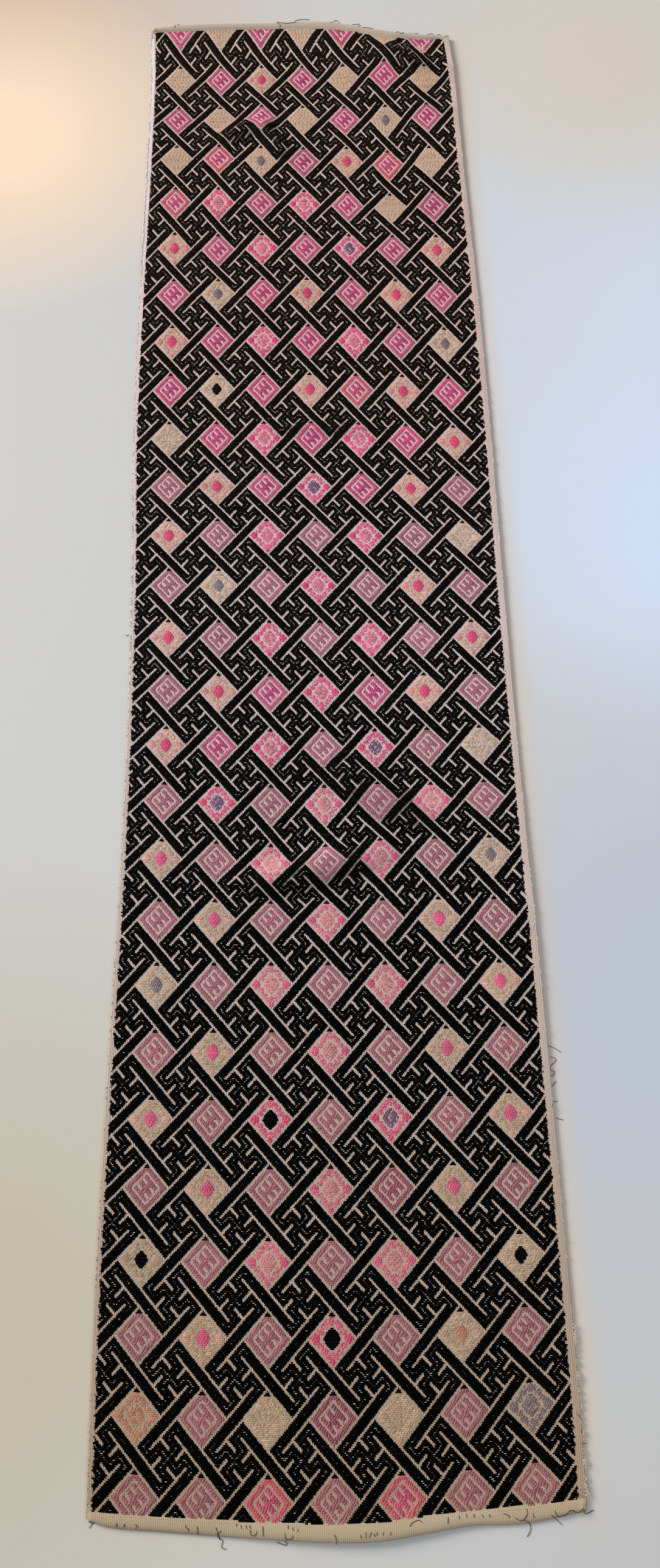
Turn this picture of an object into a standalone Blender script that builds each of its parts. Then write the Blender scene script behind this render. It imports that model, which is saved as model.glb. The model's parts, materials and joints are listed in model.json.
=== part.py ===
# Hand-woven brocade blanket panel, lying flat: one length of cloth with a turned hem at each end.
# Metres, +Z up. +Y runs along the cloth to its far end, +X across it. The origin is under its middle.
#
# A place on the cloth is given as the weaver would count it, by pattern repeats: "column" runs
# across from the left, "row" runs along from the far end, and whole numbers are diamond centres.

import math

import bmesh
import bpy

MM = 0.001

CLOTH_THICKNESS = 2.0 * MM
HEM_THICKNESS = 3.6 * MM
ROLL_THICKNESS = 2.2 * MM  # the hems thin out towards their folded edge
SELVEDGE_THICKNESS = 1.6 * MM

MIDDLE_COLUMN = 3.0
HALF_COLUMNS = 3.0  # the stretch that the spread, tilt and bow below are given for
COLUMN_PITCH = 52.0  # mm, a usual repeat across, used only to size the puckers
ROW_PITCH = 61.0  # mm, a usual repeat along
SELVEDGE = 0.06  # columns, the plain edge beside the pattern
HEM_STEP = 0.03  # rows, from the top of a hem's inner edge down to the cloth

# How the cloth lies, one line for each weft row that sets its course, in millimetres.
# along: the row's middle, from the origin; centre: its sideways drift; spread: three columns' width;
# tilt: how far its right side runs on; bow: how far its ends bend; left, right: its edges, in columns.
COURSE = (
    # row, along, centre, spread, tilt, bow, left, right
    (-1, 866.0, -31.0, 148.0, -1.0, -5.0, -0.72, 6.70),
    (0, 800.0, -31.0, 148.5, 0.0, -4.0, -0.72, 6.70),
    (1, 732.0, -28.0, 149.0, 3.0, 2.0, -0.70, 6.73),
    (3, 602.0, -26.0, 150.5, -2.0, 2.0, -0.67, 6.78),
    (6, 408.0, -20.0, 152.0, -1.0, -3.0, -0.74, 6.83),
    (9, 216.0, -14.0, 155.0, -2.0, -2.0, -0.74, 6.78),
    (12, 39.0, -6.0, 155.5, 0.0, 0.0, -0.73, 6.70),
    (15, -138.0, -1.0, 156.0, 1.0, 4.0, -0.74, 6.71),
    (17, -253.0, 2.0, 158.5, 2.0, 4.0, -0.72, 6.68),
    (18, -312.0, 3.0, 159.5, 1.0, 1.0, -0.72, 6.70),
    (20, -433.0, 6.0, 160.5, 3.0, 2.0, -0.77, 6.71),
    (23, -611.0, 7.0, 164.5, 2.0, 4.0, -0.70, 6.72),
    (25, -731.0, 9.0, 165.0, 4.0, 6.5, -0.69, 6.74),
    (27, -853.0, 12.0, 165.0, 4.5, 8.0, -0.69, 6.70),
)
ROW, ALONG, CENTRE, SPREAD, TILT, BOW, LEFT, RIGHT = range(8)

# The two hems, each from its folded edge to where the turning ends, in rows.
HEMS = (
    # column, far_fold, far_end, near_end, near_fold
    (-0.73, -0.17, -0.12, 26.22, 26.28),
    (-0.40, -0.24, -0.13, 26.21, 26.35),
    (0.5, -0.27, -0.13, 26.20, 26.36),
    (2.0, -0.26, -0.13, 26.23, 26.40),
    (3.5, -0.30, -0.13, 26.26, 26.45),
    (4.3, -0.22, -0.08, 26.22, 26.40),
    (5.0, -0.12, 0.02, 26.20, 26.36),
    (5.8, -0.06, 0.06, 26.22, 26.41),
    (6.75, 0.00, 0.05, 26.24, 26.36),
)
COLUMN, FAR_FOLD, FAR_END, NEAR_END, NEAR_FOLD = range(5)

# Puckers that rise off the surface, in millimetres. turn is the crest's heading, in degrees from +X.
PUCKERS = (
    # column, row, half_length, half_width, turn, height
    (5.40, 0.42, 82.0, 30.0, -24.0, 9.0),  # crest across the far right corner
    (1.60, 2.30, 52.0, 20.0, 22.0, 5.0),  # two short crests that meet
    (2.25, 2.45, 44.0, 20.0, -56.0, 5.0),
    (3.20, 8.78, 90.0, 14.0, 0.0, 2.5),  # shallow crease
    (3.85, 15.75, 84.0, 28.0, -36.0, 7.0),  # slanting crest
    (2.85, 17.15, 92.0, 27.0, 16.0, 8.0),  # crest under a squeezed diamond
    (3.30, 26.48, 130.0, 34.0, 3.0, 4.0),  # near hem standing off the surface
)

# Bands of mesh rows between the hems, closer together where the puckers are.
MESH_BANDS = (
    # from_row, to_row, steps
    (0.20, 3.20, 19),
    (3.20, 8.40, 11),
    (8.40, 9.20, 6),
    (9.20, 14.80, 12),
    (14.80, 17.90, 19),
    (17.90, 25.80, 17),
    (25.80, 26.10, 2),
)
MESH_COLUMNS = 22  # mesh steps between the plain edges

CLOTH_COLOUR = (0.60, 0.51, 0.40, 1.0)
CLOTH_ROUGHNESS = 0.9


def through(table, key, value, at):
    """One table column read between its lines, on a smooth curve that passes through each of them."""
    last = len(table) - 1
    at = min(max(at, table[0][key]), table[last][key])
    line = 0
    while line < last - 1 and table[line + 1][key] <= at:
        line += 1

    def slope(here):
        low = max(here - 1, 0)
        high = min(here + 1, last)
        return (table[high][value] - table[low][value]) / (table[high][key] - table[low][key])

    start, end = table[line], table[line + 1]
    gap = end[key] - start[key]
    t = (at - start[key]) / gap
    rise = end[value] - start[value]
    bend_in = gap * slope(line) - rise
    bend_out = rise - gap * slope(line + 1)
    return start[value] + t * rise + t * (1 - t) * ((1 - t) * bend_in + t * bend_out)


def lie(column, row):
    """Where a place on the cloth lies on the surface, in millimetres."""
    side = (column - MIDDLE_COLUMN) / HALF_COLUMNS
    across = through(COURSE, ROW, CENTRE, row) + side * through(COURSE, ROW, SPREAD, row)
    along = through(COURSE, ROW, ALONG, row) + side * through(COURSE, ROW, TILT, row)
    along += (side * side - 0.5) * through(COURSE, ROW, BOW, row)
    return across, along


def lift(column, row):
    """How far the puckers raise a place, in millimetres. Each ends at its own half length and width."""
    height = 0.0
    for at_column, at_row, half_length, half_width, turn, crest in PUCKERS:
        across = (column - at_column) * COLUMN_PITCH
        along = (at_row - row) * ROW_PITCH
        heading = math.radians(turn)
        down_crest = (across * math.cos(heading) + along * math.sin(heading)) / half_length
        over_crest = (along * math.cos(heading) - across * math.sin(heading)) / half_width
        reach = down_crest**2 + over_crest**2
        if reach < 1:
            height += crest * (1 - reach) ** 2
    return height


def mesh_rows(column):
    """Every mesh row's place at one column, with the thickness there: far hem, cloth, near hem."""
    far_fold, far_end, near_end, near_fold = (
        through(HEMS, COLUMN, value, column) for value in (FAR_FOLD, FAR_END, NEAR_END, NEAR_FOLD)
    )
    rows = [
        (far_fold, ROLL_THICKNESS),
        (far_fold * 0.75 + far_end * 0.25, HEM_THICKNESS),
        (far_end, HEM_THICKNESS),
        (far_end + HEM_STEP, CLOTH_THICKNESS),
    ]
    for from_row, to_row, steps in MESH_BANDS:
        rows += [(from_row + (to_row - from_row) * step / steps, CLOTH_THICKNESS) for step in range(steps)]
    rows += [
        (near_end - HEM_STEP, CLOTH_THICKNESS),
        (near_end, HEM_THICKNESS),
        (near_fold * 0.75 + near_end * 0.25, HEM_THICKNESS),
        (near_fold, ROLL_THICKNESS),
    ]
    return rows


def mesh_column(step, row):
    """The column of one mesh line at a row. The first and last lines are the plain edges' rims."""
    left = through(COURSE, ROW, LEFT, row)
    right = through(COURSE, ROW, RIGHT, row)
    if step == 0:
        return left
    if step == MESH_COLUMNS + 2:
        return right
    share = (step - 1) / MESH_COLUMNS
    return left + SELVEDGE + share * (right - left - 2 * SELVEDGE)


def cloth_underside():
    """The underside as an open sheet, each point lifted by the puckers, and each point's thickness."""
    sheet = bmesh.new()
    steps_across = MESH_COLUMNS + 2
    steps_along = len(mesh_rows(0.0)) - 1
    bmesh.ops.create_grid(sheet, x_segments=steps_across, y_segments=steps_along, size=1.0)
    thickness = []
    sheet.verts.ensure_lookup_table()
    for point in sheet.verts:
        across = round((point.co.x + 1) / 2 * steps_across)
        down = round((1 - point.co.y) / 2 * steps_along)
        guess = MIDDLE_COLUMN + (across / steps_across - 0.5) * 2 * (HALF_COLUMNS + 0.7)
        column = mesh_column(across, mesh_rows(guess)[down][0])
        row, thick = mesh_rows(column)[down]
        x, y = lie(column, row)
        point.co = (x * MM, y * MM, lift(column, row) * MM)
        rim = across in (0, steps_across)
        thickness.append(min(thick, SELVEDGE_THICKNESS) if rim else thick)
    mesh = bpy.data.meshes.new("blanket_panel")
    sheet.to_mesh(mesh)
    sheet.free()
    return mesh, thickness


def cloth_material():
    material = bpy.data.materials.new("ecru_cloth")
    material.use_nodes = True
    shader = material.node_tree.nodes["Principled BSDF"]
    shader.inputs["Base Color"].default_value = CLOTH_COLOUR
    shader.inputs["Roughness"].default_value = CLOTH_ROUGHNESS
    shader.inputs["Metallic"].default_value = 0.0
    return material


def blanket_panel():
    """One closed sheet. Solidify raises the top off the underside, thicker along the hems."""
    mesh, thickness = cloth_underside()
    panel = bpy.data.objects.new("blanket_panel", mesh)
    bpy.context.scene.collection.objects.link(panel)
    layers = panel.vertex_groups.new(name="layers")
    for index, thick in enumerate(thickness):
        layers.add([index], thick / HEM_THICKNESS, "REPLACE")
    body = panel.modifiers.new("Cloth thickness", "SOLIDIFY")
    body.thickness = HEM_THICKNESS
    body.offset = 1.0
    body.vertex_group = layers.name
    mesh.materials.append(cloth_material())
    mesh.shade_smooth()
    return panel


for thing in list(bpy.data.objects):
    bpy.data.objects.remove(thing, do_unlink=True)

blanket_panel()
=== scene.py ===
import json
import math

import bpy
import numpy as np
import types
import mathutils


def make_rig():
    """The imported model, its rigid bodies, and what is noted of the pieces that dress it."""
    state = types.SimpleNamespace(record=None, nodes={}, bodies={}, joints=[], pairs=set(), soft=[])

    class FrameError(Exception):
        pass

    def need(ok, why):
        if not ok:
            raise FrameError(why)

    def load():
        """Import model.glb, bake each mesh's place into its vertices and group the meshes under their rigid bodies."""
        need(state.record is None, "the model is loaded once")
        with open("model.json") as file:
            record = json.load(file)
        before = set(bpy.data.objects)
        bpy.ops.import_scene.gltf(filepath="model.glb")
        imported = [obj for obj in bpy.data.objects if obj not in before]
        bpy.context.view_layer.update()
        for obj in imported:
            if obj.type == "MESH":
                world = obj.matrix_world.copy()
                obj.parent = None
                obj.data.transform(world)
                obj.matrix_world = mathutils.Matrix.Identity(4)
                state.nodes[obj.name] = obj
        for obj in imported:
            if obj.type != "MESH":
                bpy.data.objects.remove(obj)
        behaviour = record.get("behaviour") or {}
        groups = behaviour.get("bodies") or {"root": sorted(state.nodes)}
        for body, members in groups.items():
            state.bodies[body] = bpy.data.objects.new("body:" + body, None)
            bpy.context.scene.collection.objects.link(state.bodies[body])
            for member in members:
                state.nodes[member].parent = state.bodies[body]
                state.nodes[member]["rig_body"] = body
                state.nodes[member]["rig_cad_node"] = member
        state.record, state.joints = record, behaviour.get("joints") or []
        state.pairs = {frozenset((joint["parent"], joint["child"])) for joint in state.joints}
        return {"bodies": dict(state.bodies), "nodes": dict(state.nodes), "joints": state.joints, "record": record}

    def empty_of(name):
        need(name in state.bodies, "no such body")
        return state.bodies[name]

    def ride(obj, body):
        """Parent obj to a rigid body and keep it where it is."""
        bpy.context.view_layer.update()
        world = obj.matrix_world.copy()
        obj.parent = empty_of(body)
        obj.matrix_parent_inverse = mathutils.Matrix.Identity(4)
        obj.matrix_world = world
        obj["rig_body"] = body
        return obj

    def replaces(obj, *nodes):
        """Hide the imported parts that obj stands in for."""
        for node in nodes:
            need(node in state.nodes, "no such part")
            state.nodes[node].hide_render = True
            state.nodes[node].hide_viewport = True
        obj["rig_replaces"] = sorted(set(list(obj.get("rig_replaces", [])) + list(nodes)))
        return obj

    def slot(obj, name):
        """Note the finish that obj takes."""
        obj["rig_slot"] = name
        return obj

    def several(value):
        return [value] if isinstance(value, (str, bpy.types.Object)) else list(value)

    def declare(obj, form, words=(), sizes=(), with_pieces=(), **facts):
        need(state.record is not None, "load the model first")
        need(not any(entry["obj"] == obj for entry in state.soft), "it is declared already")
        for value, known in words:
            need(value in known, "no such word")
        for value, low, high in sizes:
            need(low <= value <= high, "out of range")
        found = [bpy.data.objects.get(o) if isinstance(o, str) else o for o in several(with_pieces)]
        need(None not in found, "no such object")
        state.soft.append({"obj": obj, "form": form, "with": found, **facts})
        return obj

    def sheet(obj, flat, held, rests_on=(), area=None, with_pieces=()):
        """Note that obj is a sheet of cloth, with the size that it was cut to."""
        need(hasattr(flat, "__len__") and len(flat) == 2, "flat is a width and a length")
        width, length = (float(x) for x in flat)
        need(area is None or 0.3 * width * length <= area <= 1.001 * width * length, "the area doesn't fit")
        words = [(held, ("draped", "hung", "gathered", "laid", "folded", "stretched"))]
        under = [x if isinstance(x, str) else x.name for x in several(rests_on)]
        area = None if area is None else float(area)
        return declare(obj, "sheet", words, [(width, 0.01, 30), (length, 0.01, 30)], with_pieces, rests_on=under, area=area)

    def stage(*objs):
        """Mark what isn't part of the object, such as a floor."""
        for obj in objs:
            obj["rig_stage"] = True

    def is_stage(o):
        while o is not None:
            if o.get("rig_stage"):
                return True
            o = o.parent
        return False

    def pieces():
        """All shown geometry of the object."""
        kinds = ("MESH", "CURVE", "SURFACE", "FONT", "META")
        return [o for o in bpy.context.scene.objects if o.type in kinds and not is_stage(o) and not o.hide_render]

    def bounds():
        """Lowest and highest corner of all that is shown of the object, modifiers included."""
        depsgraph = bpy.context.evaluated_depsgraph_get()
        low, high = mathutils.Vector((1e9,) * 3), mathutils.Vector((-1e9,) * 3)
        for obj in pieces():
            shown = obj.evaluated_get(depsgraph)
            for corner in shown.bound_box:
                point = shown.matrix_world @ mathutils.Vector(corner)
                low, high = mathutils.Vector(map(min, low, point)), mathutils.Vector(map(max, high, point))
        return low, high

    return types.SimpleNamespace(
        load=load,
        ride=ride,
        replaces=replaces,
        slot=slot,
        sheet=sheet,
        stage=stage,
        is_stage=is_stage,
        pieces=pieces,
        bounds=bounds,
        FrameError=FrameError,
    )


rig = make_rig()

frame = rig.load()
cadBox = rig.bounds()
mm = 0.001
dice = np.random.default_rng(26)


clothLay = {  # how the cloth lies
    "columnPitch": 52.0,  # mm, a usual repeat across
    "rowPitch": 61.0,  # mm, a usual repeat along
    "middleColumn": 3.0,
    "middleRow": 13.0,
    "halfColumns": 3.0,
    "course": (  # one line for each weft row that sets the lie, in mm, with the two edges in columns
        # row, along, centre, spread, tilt, bow, left, right
        (-1, 866.0, -31.0, 148.0, -1.0, -5.0, -0.72, 6.70),
        (0, 800.0, -31.0, 148.5, 0.0, -4.0, -0.72, 6.70),
        (1, 732.0, -28.0, 149.0, 3.0, 2.0, -0.70, 6.73),
        (3, 602.0, -26.0, 150.5, -2.0, 2.0, -0.67, 6.78),
        (6, 408.0, -20.0, 152.0, -1.0, -3.0, -0.74, 6.83),
        (9, 216.0, -14.0, 155.0, -2.0, -2.0, -0.74, 6.78),
        (12, 39.0, -6.0, 155.5, 0.0, 0.0, -0.73, 6.70),
        (15, -138.0, -1.0, 156.0, 1.0, 4.0, -0.74, 6.71),
        (17, -253.0, 2.0, 158.5, 2.0, 4.0, -0.72, 6.68),
        (18, -312.0, 3.0, 159.5, 1.0, 1.0, -0.72, 6.70),
        (20, -433.0, 6.0, 160.5, 3.0, 2.0, -0.77, 6.71),
        (23, -611.0, 7.0, 164.5, 2.0, 4.0, -0.70, 6.72),
        (25, -731.0, 9.0, 165.0, 4.0, 6.5, -0.69, 6.74),
        (27, -853.0, 12.0, 165.0, 4.5, 8.0, -0.69, 6.70),
    ),
    "hems": (  # from each folded edge to where the turning ends, in rows
        # column, farFold, farEnd, nearEnd, nearFold
        (-0.73, -0.17, -0.12, 26.22, 26.28),
        (-0.40, -0.24, -0.13, 26.21, 26.35),
        (0.5, -0.27, -0.13, 26.20, 26.36),
        (2.0, -0.26, -0.13, 26.23, 26.40),
        (3.5, -0.30, -0.13, 26.26, 26.45),
        (4.3, -0.22, -0.08, 26.22, 26.40),
        (5.0, -0.12, 0.02, 26.20, 26.36),
        (5.8, -0.06, 0.06, 26.22, 26.41),
        (6.75, 0.00, 0.05, 26.24, 26.36),
    ),
    "puckers": (  # crests that stand off the surface: mm, and the crest's heading in degrees from +X
        # column, row, halfLength, halfWidth, turn, height
        (5.36, 0.52, 62.0, 26.0, -24.0, 8.0),
        (1.60, 2.30, 52.0, 20.0, 22.0, 5.0),
        (2.25, 2.45, 44.0, 20.0, -56.0, 5.0),
        (3.20, 8.78, 90.0, 14.0, 0.0, 2.5),
        (3.85, 15.75, 84.0, 28.0, -36.0, 8.6),
        (2.85, 17.15, 92.0, 27.0, 16.0, 9.4),
        (3.30, 26.48, 130.0, 34.0, 3.0, 4.0),
    ),
    "edgeCurl": (  # how far the long edges stand off the surface, in mm: row, left, right
        (-1, 0.8, 3.4), (0.5, 0.8, 3.4), (2, 0.6, 2.6), (5, 0.5, 1.6), (9, 0.4, 1.4), (12, 0.4, 2.2),
        (15, 0.5, 1.4), (18, 0.4, 2.6), (21, 0.4, 1.5), (24, 0.5, 1.2), (27, 0.8, 1.6),
    ),
    "curlReach": 0.27,  # columns
    "pulls": (  # places where the pattern is drawn out of line in the cloth, in mm
        # column, row, across, along
        (5, 0, 4, 0), (4, 1, 0, -3), (5, 1, 0, 4), (6, 1, 0, -6), (6, 0.4, 0, -4),
        (2, 2, 0, 5), (3, 2, 0, 3), (5, 2, 0, -3), (6, 2, 0, 4), (1, 3, 0, 4),
        (5, 3, 0, -5), (6, 3, 0, 0), (4, 4, 0, -2), (4, 3, 2, 2), (5, 4, 0, -3), (1, 5, 0, -3),
        (2, 17, 0, -3), (3, 17, 0, -4), (4, 17, 0, 3), (5, 17, 0, 2),
    ),
    "pullReach": 0.55,  # repeats
    "slack": ((-1, -4.3), (1, -4.3), (2, -4.3), (3, -2.5), (4.2, 0.0), (27, 0.0)),  # whole rows: row, along
    "slackAcross": ((3.3, 4.2), (1.0, 0.15)),  # less of it to the right: at these columns, this share
    "hemSlack": (0.38, 4.3, 0.02),  # the first row is drawn out to the far hem: rows in, mm, rows past it
    "thickness": 2.0,
    "hemThickness": 3.6,
    "foldThickness": 2.2,
    "selvedgeThickness": 1.6,
    "selvedge": 0.06,  # columns
    "hemStep": 1.8,  # mm over which a hem's inner edge comes down to the cloth
    "hemProfile": ((0, 0.1, 0.28, 0.72, 0.9, 1), (0, 0.65, 1, 0.95, 0.55, 0)),  # how full, from fold to end
}
courseTable = np.array(clothLay["course"])
hemTable = np.array(clothLay["hems"])
curlTable = np.array(clothLay["edgeCurl"])
slackTable = np.array(clothLay["slack"])
columnPitch = clothLay["columnPitch"]
rowPitch = clothLay["rowPitch"]
hemStepRows = clothLay["hemStep"] / rowPitch


def through(table, value, at):  # one table column read between its lines, on a smooth curve through them
    keys = table[:, 0]
    values = table[:, value]
    at = np.clip(at, keys[0], keys[-1])
    line = np.clip(np.searchsorted(keys, at, side="right") - 1, 0, len(keys) - 2)
    below = np.maximum(np.arange(len(keys)) - 1, 0)
    above = np.minimum(np.arange(len(keys)) + 1, len(keys) - 1)
    slopes = (values[above] - values[below]) / (keys[above] - keys[below])
    gap = keys[line + 1] - keys[line]
    t = (at - keys[line]) / gap
    rise = values[line + 1] - values[line]
    bendIn = gap * slopes[line] - rise
    bendOut = rise - gap * slopes[line + 1]
    return values[line] + t * rise + t * (1 - t) * ((1 - t) * bendIn + t * bendOut)


def leftEdge(row):
    return through(courseTable, 6, row)


def rightEdge(row):
    return through(courseTable, 7, row)


def hemLines(column):  # farFold, farEnd, nearEnd, nearFold
    return [through(hemTable, value, column) for value in (1, 2, 3, 4)]


def lie(column, row):  # where a place lies on the surface, in mm
    side = (column - clothLay["middleColumn"]) / clothLay["halfColumns"]
    across = through(courseTable, 2, row) + side * through(courseTable, 3, row)
    along = through(courseTable, 1, row) + side * through(courseTable, 4, row)
    along = along + (side * side - 0.5) * through(courseTable, 5, row)
    return across, along


def lift(column, row):  # how far the puckers and the curling edges raise a place, in mm
    height = np.zeros(np.broadcast(column, row).shape)
    for atColumn, atRow, halfLength, halfWidth, turn, crest in clothLay["puckers"]:
        across = (column - atColumn) * columnPitch
        along = (atRow - row) * rowPitch
        heading = math.radians(turn)
        downCrest = (across * math.cos(heading) + along * math.sin(heading)) / halfLength
        overCrest = (along * math.cos(heading) - across * math.sin(heading)) / halfWidth
        reach = np.minimum(downCrest**2 + overCrest**2, 1)
        height += crest * (1 - reach) ** 2
    for inEdge, value in ((column - leftEdge(row), 1), (rightEdge(row) - column, 2)):
        height += through(curlTable, value, row) * np.clip(1 - inEdge / clothLay["curlReach"], 0, 1) ** 2
    return height


def thickness(column, row):  # from the underside up to the top, in mm
    farFold, farEnd, nearEnd, nearFold = hemLines(column)
    thick = np.full(np.broadcast(column, row).shape, clothLay["thickness"])
    for fold, end, inward in ((farFold, farEnd, 1), (nearFold, nearEnd, -1)):
        share = (row - fold) / (end - fold)
        past = np.clip((row - end) * inward * rowPitch / clothLay["hemStep"], 0, 1)
        profile = np.interp(share, *clothLay["hemProfile"])
        turned = clothLay["foldThickness"] + profile * (clothLay["hemThickness"] - clothLay["foldThickness"])
        thick = np.maximum(thick, clothLay["thickness"] + (turned - clothLay["thickness"]) * (1 - past))
    fromEdge = np.minimum(column - leftEdge(row), rightEdge(row) - column) / clothLay["selvedge"]
    thin = clothLay["selvedgeThickness"]
    return np.where(fromEdge < 1, np.minimum(thick, thin + (thick - thin) * np.clip(fromEdge, 0, 1)), thick)


def onCloth(column, row, height):  # a point above the top of the cloth, in metres
    across, along = lie(column, row)
    up = lift(column, row) + thickness(column, row) + height
    return np.stack([across, along, up], axis=-1) * mm


def pulled(column, row):  # where a pattern repeat really is in the cloth
    across = np.zeros(np.broadcast(column, row).shape)
    along = np.zeros_like(across)
    for atColumn, atRow, moveAcross, moveAlong in clothLay["pulls"]:
        away = ((column - atColumn) ** 2 + (row - atRow) ** 2) / (2 * clothLay["pullReach"] ** 2)
        share = np.exp(-away)
        across += moveAcross * share
        along += moveAlong * share
    along += through(slackTable, 1, row) * np.interp(column, *clothLay["slackAcross"])
    reach, extra, past = clothLay["hemSlack"]
    toHem = (through(hemTable, 2, column) + past) * rowPitch
    along += (extra - toHem) * np.exp(-((row / reach) ** 2))
    return column + across / columnPitch, row - along / rowPitch


class Wire:  # a node's output that makes Math nodes when it is used in an expression
    def __init__(self, finish, socket):
        self.finish = finish
        self.socket = socket

    def math(self, operation, first, second=0.0):
        return self.finish.node("ShaderNodeMath", {"operation": operation}, [first, second])

    def __add__(self, other):
        return self.math("ADD", self, other)

    def __sub__(self, other):
        return self.math("SUBTRACT", self, other)

    def __rsub__(self, other):
        return self.math("SUBTRACT", other, self)

    def __mul__(self, other):
        return self.math("MULTIPLY", self, other)

    __radd__ = __add__
    __rmul__ = __mul__


class Finish:  # one material, with its Principled shader's constant values
    def __init__(self, name, **constants):
        self.material = bpy.data.materials.new(name)
        self.material.use_nodes = True
        self.tree = self.material.node_tree
        self.shader = self.tree.nodes["Principled BSDF"]
        for socket, value in constants.items():
            self.shader.inputs[socket.replace("_", " ")].default_value = value

    def node(self, kind, settings, values, output=0):  # values: a list by place, or a dictionary by socket
        made = self.tree.nodes.new(kind)
        for setting, value in settings.items():
            setattr(made, setting, value)
        pairs = values.items() if isinstance(values, dict) else enumerate(values)
        for socket, value in pairs:
            if isinstance(value, Wire):
                self.tree.links.new(value.socket, made.inputs[socket])
            else:
                made.inputs[socket].default_value = value
        return Wire(self, made.outputs[output])

    def mix(self, share, first, second, blend="MIX"):
        settings = {"data_type": "RGBA", "blend_type": blend}
        return self.node("ShaderNodeMix", settings, {0: share, 6: first, 7: second}, 2)

    def part(self, vector, axis):
        return self.node("ShaderNodeSeparateXYZ", {}, [vector], axis)

    def place(self):  # where each point is, in m
        return self.node("ShaderNodeTexCoord", {}, [], "Object")

    def weave(self):  # each point's column and row
        weave = self.node("ShaderNodeUVMap", {"uv_map": "weave"}, [])
        return self.part(weave, "X"), self.part(weave, "Y")

    def dye(self):
        return self.node("ShaderNodeAttribute", {"attribute_name": "dye"}, [], "Color")

    def noise(self, place, scale, detail):
        return self.node("ShaderNodeTexNoise", {}, {"Vector": place, "Scale": scale, "Detail": detail})

    def feed(self, socket, wire):
        self.tree.links.new(wire.socket, self.shader.inputs[socket])

    def bump(self, strength, depth, height):  # depth in mm
        values = {"Strength": strength, "Distance": depth * mm, "Height": height}
        self.feed("Normal", self.node("ShaderNodeBump", {}, values, "Normal"))


def dyed(red, green, blue):  # a colour as seen, 0 to 255, made linear
    return tuple(((c / 255 + 0.055) / 1.055) ** 2.4 for c in (red, green, blue))


clothLook = {
    "ground": dyed(210, 190, 166),
    "shade": dyed(186, 164, 140),
    "fadeAndLightTints": (  # how the ground's colour changes from the far end to the near one: partly real yellowing and dye bleed, partly painted light, brighter and cooler in the middle rows and darker towards the near end
        (1.12, 1.08, 1.22), (1.08, 0.99, 1.18), (1.06, 1.10, 1.40), (0.90, 0.92, 1.08), (0.67, 0.62, 0.57),
    ),
    # the yarns' tint down the length: partly real fading, partly painted light, brighter and cooler in the middle
    # rows, darker near
    "yarnFadeAndLightTints": (
        (1.0, 1.0, 1.0), (1.03, 1.02, 1.08), (1.10, 1.15, 1.34), (0.98, 0.98, 1.02), (0.84, 0.80, 0.74),
    ),
    # the black yarn's tint down the length: partly a real brownish cast far off, partly painted light, lighter and
    # warmer far off and darker near
    "blackFadeAndLightTints": (
        (6.5, 4.4, 2.8), (4.8, 3.3, 2.3), (2.8, 2.3, 2.1), (0.9, 0.9, 1.0), (0.6, 0.5, 0.5),
    ),
    "tintStep": 6.5,  # rows from one to the next
    "rowLength": 61.2,  # mm, the usual row as it lies
    "originRow": 13.07,
    "worn": (0.80, 0.77, 0.72),
    "fadeScale": 9.0,
    "slubScale": 140.0,
    "slubShare": 0.3,
    # the far hem is darker and yellower than the ground: partly its own colour, partly painted shade of its rolled
    # turning
    "farHem": dyed(184, 174, 148),
    "nearHem": dyed(228, 214, 186),
    "leftSelvedge": dyed(240, 232, 224),
    "rightSelvedge": dyed(188, 177, 157),
    "ribsPerColumn": 36,
    "weftsPerRow": 42,
    "relief": (0.5, 0.25, 0.3),  # shares of the ribs, of the weft's beads and of slubs
    "ribDepth": 0.35,  # mm, on the cloth itself
    "beadDepth": 0.10,  # mm, on ribs that are shaped already
}

yarnLook = {
    "blackYarn": (0.65, 0.025, 0.0, 0.55, "blackFadeAndLightTints"),  # roughness, specular, sheen, wear and tints
    "dyedYarn": (0.72, 0.30, 0.2, 0.55, "yarnFadeAndLightTints"),
    "groundThread": (0.75, 0.30, 0.2, 0.15, "yarnFadeAndLightTints"),
    "wearScale": 14.0,
    "fibreScale": 1400.0,
    "fibreDepth": 0.25,  # mm
    "stitchesPerColumn": 22,  # fine ground stitches over the dyed yarns
    "stitchSlant": 3,  # wefts from one stitch to the next
    "stitchStray": (160.0, 14.0),  # how unevenly they lie: scale and reach
    "stitchShown": (0.25, 0.028),  # at the far end, and so much more with each row
    "stitchDepth": 1.2,
}


def alongTint(finish, place, fadeAndLightTints):  # a tint that changes down the length of the cloth, partly real fading and partly painted light and shade
    row = finish.part(place, "Y") * (-1 / (clothLook["rowLength"] * mm)) + clothLook["originRow"]
    tint = fadeAndLightTints[0] + (1,)
    for k, following in enumerate(fadeAndLightTints[1:]):
        tint = finish.mix(row * (1 / clothLook["tintStep"]) - float(k), tint, following + (1,))
    return tint


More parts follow.
